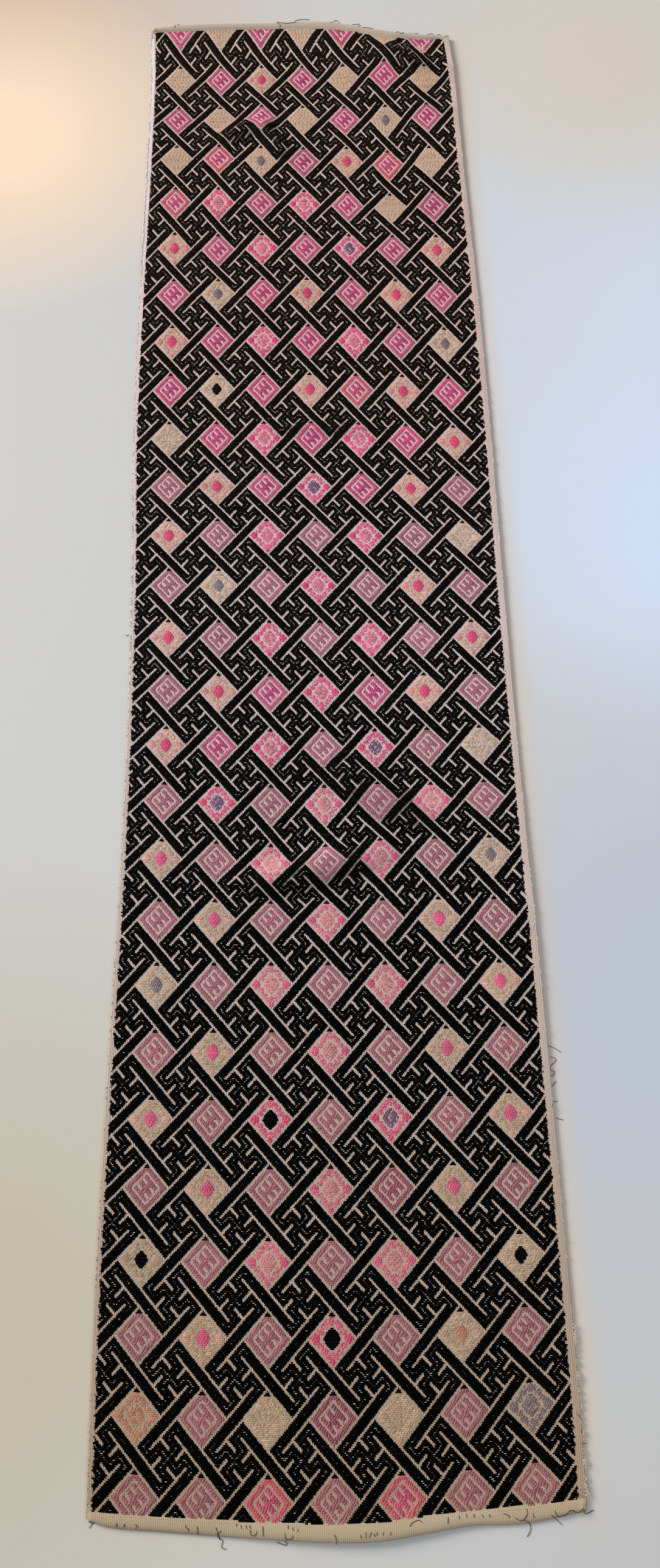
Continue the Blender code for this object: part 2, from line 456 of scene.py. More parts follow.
def clothFinish(name, depth, isDyed):
    finish = Finish(name, Roughness=0.88, Sheen_Weight=0.15, Specular_IOR_Level=0.25)
    place = finish.place()
    column, row = finish.weave()
    rib = column.math("COSINE", column * (2 * math.pi * clothLook["ribsPerColumn"]))
    beadRow = row * (math.pi * clothLook["weftsPerRow"])
    bead = row.math("COSINE", beadRow + column * (math.pi * clothLook["ribsPerColumn"]))
    fade = finish.noise(place, clothLook["fadeScale"], 3.0)
    slub = finish.noise(place, clothLook["slubScale"], 2.0)
    cloud = fade * (1 - clothLook["slubShare"]) + slub * clothLook["slubShare"]
    if isDyed:
        worn = finish.mix(cloud, clothLook["worn"] + (1,), (1, 1, 1, 1))
        colour = finish.mix(1.0, finish.dye(), worn, "MULTIPLY")
    else:
        colour = finish.mix(cloud, clothLook["shade"] + (1,), clothLook["ground"] + (1,))
    # the tint down the length is partly painted light and shade
    tint = alongTint(finish, place, clothLook["fadeAndLightTints"])
    finish.feed("Base Color", finish.mix(1.0, colour, tint, "MULTIPLY"))
    ribShare, beadShare, slubShare = clothLook["relief"]
    finish.bump(1.0, depth, rib * ribShare + bead * beadShare + slub * slubShare)
    return finish.material


def yarnFinish(name, isStitched=False):
    roughness, specular, sheen, wear, fadeAndLightTints = yarnLook[name]
    finish = Finish(name, Roughness=roughness, Specular_IOR_Level=specular, Sheen_Weight=sheen)
    place = finish.place()
    worn = finish.mix(wear, (1, 1, 1, 1), finish.noise(place, yarnLook["wearScale"], 2.0), "MULTIPLY")
    colour = finish.mix(1.0, finish.dye(), worn, "MULTIPLY")
    height = finish.noise(place, yarnLook["fibreScale"], 1.0)
    if isStitched:
        column, row = finish.weave()
        scale, reach = yarnLook["stitchStray"]
        shown, more = yarnLook["stitchShown"]
        twill = column * (2 * math.pi * yarnLook["stitchesPerColumn"])
        twill = twill + row * (2 * math.pi * clothLook["weftsPerRow"] / yarnLook["stitchSlant"])
        twill = twill + finish.noise(place, scale, 1.0) * reach
        share = (column.math("COSINE", twill) - 0.5) * (row * more + shown)
        colour = finish.mix(share, colour, clothLook["ground"] + (1,))
        height = height - share * yarnLook["stitchDepth"]
    # the tint down the length is partly painted light and shade
    tint = alongTint(finish, place, clothLook[fadeAndLightTints])
    finish.feed("Base Color", finish.mix(1.0, colour, tint, "MULTIPLY"))
    finish.bump(0.5, yarnLook["fibreDepth"], height)
    return finish.material


def topMap(points, margin=0.01):  # each point as seen from above, on a square map
    flat = points[:, :2]
    low = flat.min(axis=0)
    return margin + (1 - 2 * margin) * (flat - low) / (flat.max(axis=0) - low)


def makePiece(name, points, faces, material, dye=None, maps=None):
    # faces are quads; a map has one value for each point, or one for each corner of each face
    maps = maps or {"OFBake": topMap(points)}
    mesh = bpy.data.meshes.new(name)
    mesh.vertices.add(len(points))
    mesh.vertices.foreach_set("co", points.astype(np.float32).ravel())
    mesh.loops.add(faces.size)
    mesh.loops.foreach_set("vertex_index", faces.astype(np.int32).ravel())
    mesh.polygons.add(len(faces))
    mesh.polygons.foreach_set("loop_start", np.arange(0, faces.size, 4, dtype=np.int32))
    mesh.update(calc_edges=True)
    for mapName, values in maps.items():
        layer = mesh.uv_layers.new(name=mapName)
        corners = values if len(values) == faces.size else values[faces.ravel()]
        layer.uv.foreach_set("vector", corners.astype(np.float32).ravel())
    if dye is not None:
        colours = mesh.attributes.new("dye", "FLOAT_COLOR", "POINT")
        rgba = np.concatenate([dye, np.ones((len(dye), 1))], axis=1)
        colours.data.foreach_set("color", rgba.astype(np.float32).ravel())
    mesh.materials.append(material)
    mesh.shade_smooth()
    mesh.validate()
    piece = bpy.data.objects.new(name, mesh)
    bpy.context.scene.collection.objects.link(piece)
    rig.ride(piece, "root")
    print(name, "has", 2 * len(faces), "triangles")
    return piece


def gridFaces(rows, columns):  # quads over a grid whose rows run away from +Y, facing up
    at = np.arange(rows * columns).reshape(rows, columns)
    return np.stack([at[:-1, :-1], at[1:, :-1], at[1:, 1:], at[:-1, 1:]], axis=-1).reshape(-1, 4)


def patchFaces(count, rows, columns):  # the same grid for each of many small patches
    one = gridFaces(rows, columns)
    step = (np.arange(count) * rows * columns)[:, None, None]
    return (one[None] + step).reshape(-1, 4)


def makePatches(name, batches, material):  # one piece of many small grids
    # each batch has the grids' points, their places in the weave and their dyes
    faces, used = [], 0
    for points, weave, dye in batches:
        faces.append(patchFaces(*points.shape[:3]) + used)
        used += points[..., 0].size
    joined = [np.concatenate([x.reshape(-1, x.shape[-1]) for x in values]) for values in zip(*batches)]
    points, weave, dye = joined
    maps = {"OFBake": topMap(points), "weave": weave}
    return makePiece(name, points, np.concatenate(faces), material, dye, maps)


groundCloth = {
    "flat": (0.389, 1.665),  # m, as cut, with both hem turnings
    "acrossSteps": 70,
    "alongSteps": 270,
    "edgeBulge": 0.7,  # mm that the edge rounds out past its top
    "underYarn": 0.5,  # mm that it drops in the puckers, clear of the yarns that bend over them
    "flatEdge": 3,  # mesh columns by each long edge that don't drop
    "halfWidth": 3.7,  # columns, as a first guess that sets the mesh rows
    "hemShares": (0.0, 0.1, 0.28, 0.50, 0.72, 0.9, 1.0),
    "topCorner": (0.005, 0.01),  # where the two faces lie on the map, and their size there
    "underCorner": (0.505, 0.01),
    "mapSize": (0.48, 0.98),
    "mapRim": 0.004,  # width of each of the rim's two strips
}


def clothRows(column):  # every mesh row's place at these columns
    farFold, farEnd, nearEnd, nearFold = hemLines(column)
    farHem = [farFold + (farEnd - farFold) * share for share in groundCloth["hemShares"]]
    nearHem = [nearFold + (nearEnd - nearFold) * share for share in groundCloth["hemShares"]]
    first = farEnd + hemStepRows
    last = nearEnd - hemStepRows
    steps = groundCloth["alongSteps"]
    body = [first + (last - first) * k / steps for k in range(steps + 1)]
    return np.array(farHem + body + nearHem[::-1])


def perimeter(rows, columns):  # grid indices round the edge, and the way out of each, seen from above
    at = np.arange(rows * columns).reshape(rows, columns)
    sides = (
        (at[0, :-1], (0, 1)),
        (at[:-1, -1], (1, 0)),
        (at[-1, :0:-1], (0, -1)),
        (at[:0:-1, 0], (-1, 0)),
    )
    index = np.concatenate([side for side, out in sides])
    outward = np.concatenate([np.tile(out, (len(side), 1)) for side, out in sides])
    return index, outward.astype(float)


def strip(inner, outer):  # the corners of the quads between two rings
    return np.stack([inner, outer, np.roll(outer, -1, axis=0), np.roll(inner, -1, axis=0)], axis=1)


def makeGroundCloth(material):
    across = np.linspace(0, 1, groundCloth["acrossSteps"] + 1)
    rows = clothRows(clothLay["middleColumn"] + (across - 0.5) * 2 * groundCloth["halfWidth"])
    columns = leftEdge(rows) + across * (rightEdge(rows) - leftEdge(rows))
    rows = clothRows(columns[0])
    raised = lift(columns, rows)
    drop = groundCloth["underYarn"] * np.clip(raised, 0, 1)
    flatEdge = groundCloth["flatEdge"]
    drop[:, :flatEdge] = drop[:, -flatEdge:] = 0
    top = onCloth(columns, rows, -drop).reshape(-1, 3)
    under = top.copy()
    under[:, 2] = raised.ravel() * mm
    edge, outward = perimeter(*rows.shape)
    rim = (top[edge] + under[edge]) / 2
    rim[:, :2] += outward * groundCloth["edgeBulge"] * mm
    points = np.concatenate([top, under, rim])

    count = len(top)
    rimAt = np.arange(len(edge)) + 2 * count
    topFaces = gridFaces(*rows.shape)
    underFaces = topFaces[:, ::-1] + count
    faces = np.concatenate([topFaces, underFaces, strip(edge + count, rimAt), strip(rimAt, edge)])

    low = points[:, :2].min(axis=0)
    share = (points[:, :2] - low) / (points[:, :2].max(axis=0) - low)
    topPlace = np.array(groundCloth["topCorner"]) + share * groundCloth["mapSize"]
    underPlace = np.array(groundCloth["underCorner"]) + share * groundCloth["mapSize"]
    rings = [underPlace[edge + count] + k * groundCloth["mapRim"] * outward for k in range(3)]
    strips = np.concatenate([strip(rings[0], rings[1]), strip(rings[1], rings[2])]).reshape(-1, 2)
    bake = np.concatenate([topPlace[topFaces.ravel()], underPlace[underFaces.ravel()], strips])
    weave = np.stack([columns.ravel(), rows.ravel()], axis=1)
    weave = np.concatenate([weave, weave, weave[edge]])
    return makePiece("groundCloth", points, faces, material, maps={"OFBake": bake, "weave": weave})


fret = {  # the black bands and the ground lines between them
    "diamond": 0.375,  # half a diamond's side to side, in repeats along its own slanted axes
    "arm": 1.16,  # how far each side runs on past the diamond
    "branchAt": 0.875,
    "branchEnd": 0.125,
    "halfLine": 0.0215,
    "halfBranch": 0.026,
    "block": 0.25,  # width of one black band
    "samples": 108,  # places tried across one repeat
    "rowsTried": (-0.2, 26.4),
    "columnsTried": (-0.85, 6.9),
    "uneven": 0.0012,  # how far a line's edge strays, in repeats
    "tieReach": 0.013,  # half width of the line of ties, in columns
    "tieChance": (0.22, 0.92),  # in a plain band, and where bands turn
    "leftBare": ((0, 4, 7), (0.10, 0.085, 0.062)),  # left plain: at these rows, this many columns
    "rightBare": 0.115,
    "hemBare": 0.6,  # of the step down from a hem
    "ragged": 0.008,
}


def lineDistance(p, q):  # outside the nearest ground line, along the slanted axes p = du + dv and q = du - dv
    side, branch = fret["diamond"], fret["branchAt"]
    lines = (  # lowest p, highest p, lowest q, highest q, half width
        (-side, fret["arm"], -side, -side, fret["halfLine"]),
        (branch, branch, -side, -fret["branchEnd"], fret["halfBranch"]),
    )
    nearest = np.full(p.shape, np.inf)
    for i in (-1, 0, 1):
        for j in (-1, 0, 1):
            pNear, qNear = p - i - j, q - i + j
            for quarter in range(4):
                for lowP, highP, lowQ, highQ, half in lines:
                    pAway = np.maximum(lowP - pNear, pNear - highP)
                    qAway = np.maximum(lowQ - qNear, qNear - highQ)
                    nearest = np.minimum(nearest, np.maximum(pAway, qAway) - half)
                pNear, qNear = qNear, -pNear
    return nearest


def wrapped(p, q):  # the same place, brought near one diamond
    u = (p + q) / 2
    v = (p - q) / 2
    u = u - np.round(u)
    v = v - np.round(v)
    return u + v, u - v


def tieDistance(p, q):  # from the middle line of the black bands, and whether the band runs straight there
    block = fret["block"]
    centreP = np.round(p / block) * block
    centreQ = np.round(q / block) * block
    offP = p - centreP
    offQ = q - centreQ
    nearest = np.full(p.shape, np.inf)
    isOpen = []
    for wayP, wayQ in ((1, 0), (-1, 0), (0, 1), (0, -1)):
        wall = lineDistance(*wrapped(centreP + wayP * block / 2, centreQ + wayQ * block / 2))
        free = wall > 0
        ahead = offP * wayP + offQ * wayQ
        beside = np.abs(offP * wayQ) + np.abs(offQ * wayP)
        nearest = np.where(free & (ahead >= 0), np.minimum(nearest, beside), nearest)
        isOpen.append(free)
    pAfter, pBefore, qAfter, qBefore = isOpen
    straight = (pAfter & pBefore & ~qAfter & ~qBefore) | (qAfter & qBefore & ~pAfter & ~pBefore)
    return nearest, straight


motifs = {
    "dyes": {
        "black": dyed(6, 5.5, 5.5), "orchid": dyed(214, 84, 128), "fuchsia": dyed(210, 44, 120),
        "magenta": dyed(222, 62, 118), "dusty": dyed(182, 98, 118), "plum": dyed(162, 62, 98),
        "roseRed": dyed(230, 84, 108), "deepPink": dyed(248, 52, 122), "brightPink": dyed(246, 56, 116),
        "hotPink": dyed(252, 92, 142), "rose": dyed(250, 128, 148), "salmon": dyed(248, 154, 152),
        "peach": dyed(244, 184, 160), "apricot": dyed(244, 158, 146), "blush": dyed(250, 196, 198),
        "straw": dyed(222, 188, 154), "sand": dyed(222, 184, 146), "coral": dyed(220, 148, 116),
        "greyViolet": dyed(136, 116, 124), "violet": dyed(124, 76, 116),
    },
    "keys": {  # a hooked key inside a ring: the dyes of the ring and of the key
        "Ko": ("orchid", "fuchsia"),
        "Km": ("magenta", "fuchsia"),
        "Kr": ("roseRed", "magenta"),
        "Kd": ("dusty", "dusty"),
        "Kp": ("plum", "plum"),
    },
    "flowers": {  # a flower: dyes of its tips, side petals, ring and heart, and the heart's shape
        "B": ("sand", "sand", "sand", "sand", "disc"),  # B flowers are nearly the ground's own colour
        "C": ("straw", "straw", "straw", "straw", "disc"),
        "Cv": ("straw", "straw", "straw", "greyViolet", "spot"),
        "Bv": ("sand", "sand", "sand", "greyViolet", "spot"),
        "Ck": ("straw", "straw", "straw", "black", "spot"),
        "Cc": ("straw", "straw", "straw", "coral", "spot"),
        "Cp": ("coral", "coral", None, "coral", "disc"),
        "S": ("apricot", "peach", "sand", "brightPink", "star"),
        "Sn": ("peach", "sand", "straw", "hotPink", "star"),
        "F": ("deepPink", "hotPink", None, "rose", "disc"),
        "Fn": ("hotPink", "rose", None, "salmon", "disc"),
        "Fv": ("deepPink", "hotPink", None, "violet", "disc"),
        "Fk": ("deepPink", "hotPink", None, "black", "disc"),
        "V": ("greyViolet", "greyViolet", None, "greyViolet", "disc"),
    },
    "chart": (  # one line for each row of diamonds, from the far end, left to right
        "Ko B Ko B Km B Ko",
        "B Ko S Ko B Km B",
        "Ko B Ko B Ko Bv Ko",
        "B Kr Bv Ko S Kr B",
        "Kr F Ko F Ko B Ko",
        "S Ko F Ko Fv Ko S",
        "Ko Cv Km S Ko S Ko",
        "S Km F Km F Ko Cv",
        "Km Ck Km S Kr S Km",
        "C Km F Km F Km S",
        "Kd S Ko Fv Km S Kd",
        "S Kd F Kd F Kd C",
        "Kd Cv Kd F Kd S Kd",
        "S Kd F Kd F Kd S",
        "Kd S Ko F Ko S Kd",
        "S Ko F Kd Fv Kd C",
        "Kd Fv Kd Fn Kd Fn Kd",
        "Sn Kd Fn Kd Fn Kd Cv",
        "Kd Sn Kd Fn Kd Sn Kd",
        "Cv Kd Fn Kd Fn Kd Sn",
        "Kd Sn Kd Fn Kd Sn Kd",
        "Sn Kd Fk Kd Fv Kd Sn",
        "Kd Sn Kd Fn Kp Sn Kd",
        "Ck Kd Fn Kd Fn Kd Ck",
        "Kd Sn Kd Fk Kd Cc Kd",
        "Cp Kd C Kp C Kd V",
        "Kd Kd Kr Kd Kr Kd Kd",
    ),
    "inside": 0.350,  # where a diamond's figure ends
    "spare": 0.004,  # how far past that its corners reach
    "keyRing": 0.236,
    "keyCore": 0.206,
    "keyTeeth": (  # ground notches into the key's core: lowest p, highest p, middle q
        (-0.20, -0.045, 0.080),
        (-0.20, -0.045, -0.082),
        (0.07, 0.20, 0.066),
        (0.07, 0.20, -0.100),
    ),
    "keyTooth": 0.023,
    "tips": 2,  # the first petals, which have the tips' dye
    "petals": (  # across, along, half width, half length, in repeats from the diamond's middle
        (0.262, 0.0, 0.080, 0.080),
        (0.0, 0.300, 0.060, 0.052),
        (0.176, 0.084, 0.066, 0.048),
        (0.122, 0.164, 0.066, 0.050),
        (0.056, 0.232, 0.054, 0.040),
        (0.0, 0.196, 0.044, 0.034),
    ),
    "hearts": {  # lobes in each: the same, with a power that rounds them
        "disc": ((0.0, 0.0, 0.140, 0.154, 1.3),),
        "spot": ((0.0, 0.0, 0.112, 0.130, 1.3),),
        "star": (  # four lobes, with ground between them
            (0.0, 0.0, 0.084, 0.096, 1.8),
            (0.066, 0.0, 0.056, 0.052, 1.8),
            (0.0, 0.076, 0.056, 0.056, 1.8),
            (0.054, 0.056, 0.036, 0.034, 1.8),
        ),
    },
    "ring": (0.0, 0.0, 0.185, 0.205, 1.3),
    "cap": (-0.352, -0.285, 0.012, 0.85),  # black cap in the top corner: start, end, half width, growth
    "dash": (0.036, 0.100),  # broken yarn: the shortest and longest repeat, in columns
    "dashGap": 0.014,
    "knot": 0.060,  # how much farther apart the breaks in a bright petal are
    "knotGap": 0.006,
    "stain": (0.85, 0.35, 20),  # how far the dyes tint the ground, at the far end and past this row
    "stainDyes": {"key": "blush", "F": "blush", "V": "straw", "S": "sand", "C": "straw", "B": "sand"},
}
groundYarn = 0  # no pattern yarn over the ground


def yarnNumber(name):
    return 1 + list(motifs["dyes"]).index(name) if name else groundYarn


blackYarn = yarnNumber("black")


def lobe(across, along, atAcross, atAlong, halfWidth, halfLength, power=1.8):  # one in each quarter
    outAcross = np.abs(np.abs(across) - atAcross) / halfWidth
    outAlong = np.abs(np.abs(along) - atAlong) / halfLength
    return outAcross**power + outAlong**power < 1


def keyYarn(across, along, ringDye, coreDye):
    p = across + along
    q = across - along
    out = np.maximum(np.abs(p), np.abs(q))
    core = out < motifs["keyCore"]
    for lowP, highP, middle in motifs["keyTeeth"]:
        core &= ~((p > lowP) & (p < highP) & (np.abs(q - middle) < motifs["keyTooth"]))
    ring = (out < motifs["inside"]) & (out > motifs["keyRing"])
    return np.where(core, coreDye, np.where(ring, ringDye, groundYarn))


def flowerYarn(across, along, dashed, knotted, dyes, isPlain):
    tips, sides, ring, heart, shape = dyes
    yarn = np.where(lobe(across, along, *motifs["ring"]) & dashed, ring, groundYarn)
    if isPlain:
        inside = np.maximum(np.abs(across + along), np.abs(across - along)) < motifs["inside"]
        yarn = np.where(inside & dashed, sides, yarn)
    for place, outline in enumerate(motifs["petals"]):
        petal = lobe(across, along, *outline)
        isTip = place < motifs["tips"]
        petal &= dashed if isPlain else knotted | isTip
        yarn = np.where(petal, tips if isTip else sides, yarn)
    whole = np.zeros(across.shape, bool)
    for outline in motifs["hearts"][shape]:
        whole |= lobe(across, along, *outline)
    if heart == sides and ring == sides:
        whole &= dashed
    elif shape == "disc" and heart != blackYarn:
        whole &= knotted
    return np.where(whole, heart, yarn)


def chartPattern():  # which yarn floats at each sample of each weft row
    wefts = clothLook["weftsPerRow"]
    samples = fret["samples"]
    u = (np.arange(samples) + 0.5) / samples
    v = (np.arange(wefts) + 0.5) / wefts
    du, dv = np.meshgrid(u - np.round(u), v - np.round(v))
    lines = lineDistance(du + dv, du - dv)
    ties, straight = tieDistance(du + dv, du - dv)
    inDiamond = np.abs(du) + np.abs(dv) < fret["diamond"]

    weft = np.arange(*(int(x * wefts) for x in fret["rowsTried"]))
    sample = np.arange(*(int(x * samples) for x in fret["columnsTried"]))
    tile = np.ix_(weft % wefts, sample % samples)
    shape = (len(weft), len(sample))
    isLine = lines[tile] < dice.normal(0, fret["uneven"], shape)
    yarn = np.where(isLine | inDiamond[tile], groundYarn, blackYarn)
    isTie = (ties[tile] < fret["tieReach"]) & (yarn != groundYarn)
    tieChance = np.where(straight, *fret["tieChance"])[tile]

    column = (sample + 0.5) / samples
    row = (weft + 0.5) / wefts
    for j, line in enumerate(motifs["chart"]):
        for i, code in enumerate(line.split()):
            atWeft = np.flatnonzero(np.abs(row - j) < fret["diamond"])
            atSample = np.flatnonzero(np.abs(column - i) < fret["diamond"])
            if not len(atWeft):
                continue
            across, along = np.meshgrid(column[atSample] - i, row[atWeft] - j)
            repeat = dice.uniform(*motifs["dash"], (len(atWeft), 1))
            shifted = across + dice.random((len(atWeft), 1))
            dashed = shifted % repeat > motifs["dashGap"]
            knotted = shifted % (repeat + motifs["knot"]) > motifs["knotGap"]
            if code in motifs["keys"]:
                figure = keyYarn(across, along, *(yarnNumber(name) for name in motifs["keys"][code]))
            else:
                *names, heartShape = motifs["flowers"][code]
                dyes = (*(yarnNumber(name) for name in names), heartShape)
                figure = flowerYarn(across, along, dashed, knotted, dyes, code[0] == "B")
            inside = np.abs(across) + np.abs(along) < motifs["inside"] + motifs["spare"]
            figure = np.where(inside, figure, groundYarn)
            low, high, half, growth = motifs["cap"]
            cap = (along > low) & (along < high) & (np.abs(across) < half + (along - low) * growth)
            figure = np.where(cap, blackYarn, figure)
            patch = np.ix_(atWeft, atSample)
            yarn[patch] = np.where(inDiamond[tile][patch], figure, yarn[patch])

    columnGrid, rowGrid = np.meshgrid(column, row)
    columnHere, rowHere = pulled(columnGrid, rowGrid)
    farEnd, nearEnd = hemLines(columnHere)[1:3]
    plain = hemStepRows * fret["hemBare"]
    bare = (rowHere < farEnd + plain) | (rowHere > nearEnd - plain)
    ragged = dice.normal(0, fret["ragged"], (len(weft), 1))
    bare |= columnHere < leftEdge(rowHere) + ragged + np.interp(rowHere, *fret["leftBare"])
    bare |= columnHere > rightEdge(rowHere) + ragged - fret["rightBare"]
    yarn[bare] = groundYarn

    tieStart, tieEnd, tieRow, chance = stretches(np.where(bare | ~isTie, 0.0, tieChance), column, row)[:4]
    kept = dice.random(len(chance)) < chance
    ties = [x[kept] for x in (tieStart, tieEnd, tieRow, chance)]
    cut = np.zeros(shape, bool)
    atWeft = np.round(ties[2] * wefts - 0.5).astype(int) - weft[0]
    atSample = np.round((ties[0] + ties[1]) / 2 * samples).astype(int) - sample[0]
    cut[atWeft, np.minimum(atSample, shape[1] - 1)] = True
    return stretches(yarn, column, row, cut), ties


def stretches(values, column, row, cut=None):  # each unbroken stretch along a weft row
    # start, end, row, value, and whether it starts and ends at a tie
    padded = np.pad(values, ((0, 0), (1, 1)))
    changes = padded[:, 1:] != padded[:, :-1]
    ties = np.zeros(changes.shape, bool)
    if cut is not None:
        ties[:, :-1] = cut & ~changes[:, :-1]
    weft, edge = np.nonzero(changes | ties)
    isTie = ties[weft, edge]
    value = padded[weft, edge + 1]
    starts = np.flatnonzero(value != 0)
    ends = starts + 1
    halfSample = 0.5 / fret["samples"]
    limits = np.concatenate([column - halfSample, [column[-1] + halfSample]])
    first, last = limits[edge[starts]], limits[edge[ends]]
    return first, last, row[weft[starts]], value[starts], isTie[starts], isTie[ends]


floats = {
    "crest": 0.75,  # mm that a yarn's crown stands over the cloth
    "sink": -0.12,  # mm, where a yarn goes down into the cloth
    "side": 0.24,  # mm, where two yarns beside each other meet
    "taper": 0.9,  # mm over which it goes down
    "dip": 0.42,  # mm, how high a yarn stays where a tie holds it down
    "tieTaper": 0.5,
    "least": 1.0,  # mm, and no shorter
    "short": 3.0,  # mm, below which a float is one small arch
    "tieWidth": 0.94,  # of its usual width, at a tie
    "endWidth": 0.5,
    "mostTaper": 0.4,  # of its length
    "widths": (1.0, 1.10),  # the narrowest and widest yarns
    "crests": (0.88, 1.10),  # the lowest and highest
    "stray": 0.03,  # how far a yarn lies out of line, in wefts
    "overlap": 0.12,  # mm that each free end runs on under the ground
    "jitter": 0.2,  # mm at each end
    "toneSpread": 0.12,
    "paintedSideShade": 0.62,  # painted shade: how much darker a yarn is along its sides, where it meets the next
    "bend": 0.12,  # mm by which the cloth may curve under a float before it gets more steps
    "shortSteps": (0.5,),  # places along a float's crown
    "flatSteps": (0, 1),
    "bentSteps": (0, 0.2, 0.4, 0.6, 0.8, 1),
    "blackParts": (("blackYarnFar", -1, 9), ("blackYarnMiddle", 9, 18), ("blackYarnNear", 18, 28)),  # rows
}


def floatPatches(start, end, row, shares, heights, widths):
    # shares, heights and widths have a line for each float and a value for each station along it
    pitch = 1 / clothLook["weftsPerRow"]
    count = len(start)
    along = start[:, None] + (end - start)[:, None] * shares
    breadth = pitch * 0.5 * dice.uniform(*floats["widths"], count)
    crest = heights * dice.uniform(*floats["crests"], (count, 1))
    side = np.minimum(crest, floats["side"])
    wander = row + pitch * dice.normal(0, floats["stray"], count)
    across = np.array((-1.0, 0.0, 1.0))[:, None]
    columns = np.broadcast_to(along[:, None, :], (count, 3, shares.shape[1]))
    rows = wander[:, None, None] + breadth[:, None, None] * widths[:, None, :] * across
    up = np.stack([side, crest, side], axis=1)
    weave = np.stack([columns, rows], axis=-1)
    return onCloth(*pulled(columns, rows), up), weave


def bendAlong(start, end, row):  # how far the cloth under a float bows from the straight, in mm
    def height(column):
        columns, rows = pulled(column, row)
        return lift(columns, rows) - rows * rowPitch

    first, rise = height(start), height(end) - height(start)
    bows = [height(start + (end - start) * share) - first - rise * share for share in (0.25, 0.5, 0.75)]
    return np.abs(bows).max(axis=0)


def goingDown(isTied, length):  # a float's height and width at one end, and the share of its length it takes
    height = np.where(isTied, floats["dip"], floats["sink"])
    width = np.where(isTied, floats["tieWidth"], floats["endWidth"])
    taper = np.where(isTied, floats["tieTaper"], floats["taper"])
    return height, width, np.minimum(taper / length, floats["mostTaper"])


def makeFloats(name, chosen, material):
    start, end, row, kind, startTied, endTied = chosen
    spare = floats["overlap"] / columnPitch
    wobble = floats["jitter"] / columnPitch
    start = start + np.where(startTied, 0, dice.uniform(-wobble, wobble, len(start)) - spare)
    end = end + np.where(endTied, 0, dice.uniform(-wobble, wobble, len(end)) + spare)
    length = (end - start) * columnPitch
    tone = np.exp(dice.normal(0, floats["toneSpread"], len(start)))
    colour = np.array(list(motifs["dyes"].values()))[kind - 1] * tone[:, None]
    # painted shade along the sides of each float, where it meets the next
    shade = np.array((floats["paintedSideShade"], 1.0, floats["paintedSideShade"]))[:, None, None]
    isBent = bendAlong(start, end, row) > floats["bend"]
    isShort = (length < floats["short"]) & ~startTied & ~endTied
    isLong = ~isShort & (length > floats["least"])
    kinds = (
        (isShort, floats["shortSteps"]),
        (isLong & ~isBent, floats["flatSteps"]),
        (isLong & isBent, floats["bentSteps"]),
    )
    batches = []
    for these, steps in kinds:
        full = np.ones(these.sum())
        startHeight, startWidth, startShare = goingDown(startTied[these], length[these])
        endHeight, endWidth, endShare = goingDown(endTied[these], length[these])
        between = [startShare + (1 - endShare - startShare) * step for step in steps]
        shares = np.stack([0 * full, *between, full], axis=1)
        heights = np.stack([startHeight, *([floats["crest"] * full] * len(steps)), endHeight], axis=1)
        widths = np.stack([startWidth, *([full] * len(steps)), endWidth], axis=1)
        points, weave = floatPatches(start[these], end[these], row[these], shares, heights, widths)
        dye = np.broadcast_to(colour[these][:, None, None, :] * shade, points.shape)
        batches.append((points, weave, dye))
    return makePatches(name, batches, material)


tieStitches = {
    "width": (0.35, 1.5),  # mm, the narrowest and the widest
    "breadth": 0.26,  # mm, half of it
    "height": (0.50, 0.74, 0.50),  # mm over the cloth, across a stitch, in the dip between two floats
    "shares": (0.5, 1.0),  # least and most of its room that it fills
    "stray": 0.1,  # mm
    "pale": dyed(190, 180, 166),
    "tone": (0.03, 0.28),  # darkest and palest of most
    "bright": (0.55, 1.1),  # and of the few that stand out
    "brightShare": (0.50, 0.10),  # how many do, where bands turn and in a plain band
    "brightSize": (1.5, 1.3),  # how much wider and broader they are
}


def makeTies(ties, material):  # small ground stitches that hold the black yarn down
    start, end, row, chance = ties
    count = len(row)
    low, high = (x / columnPitch / 2 for x in tieStitches["width"])
    half = np.clip((end - start) / 2 * dice.uniform(*tieStitches["shares"], count), low, high)
    middle = (start + end) / 2 + dice.normal(0, tieStitches["stray"] / columnPitch, count)
    isTurn = chance > np.mean(fret["tieChance"])
    isBright = dice.random(count) < np.where(isTurn, *tieStitches["brightShare"])
    wider, broader = (np.where(isBright, x, 1.0) for x in tieStitches["brightSize"])
    breadth = tieStitches["breadth"] / rowPitch * broader
    flat = np.zeros((count, 3, 2))
    columns = middle[:, None, None] + (half * wider)[:, None, None] * np.array((-1.0, 1.0)) + flat
    rows = row[:, None, None] + breadth[:, None, None] * np.array((-1.0, 0.0, 1.0))[:, None] + flat
    up = np.array(tieStitches["height"])[:, None] + flat
    points = onCloth(*pulled(columns, rows), up).reshape(-1, 3)
    bright = dice.uniform(*tieStitches["bright"], count)
    tone = np.where(isBright, bright, dice.uniform(*tieStitches["tone"], count))
    dye = np.repeat(np.array(tieStitches["pale"]) * tone[:, None], len(points) // count, axis=0)
    return makePiece("tieStitches", points, patchFaces(*flat.shape), material, dye)


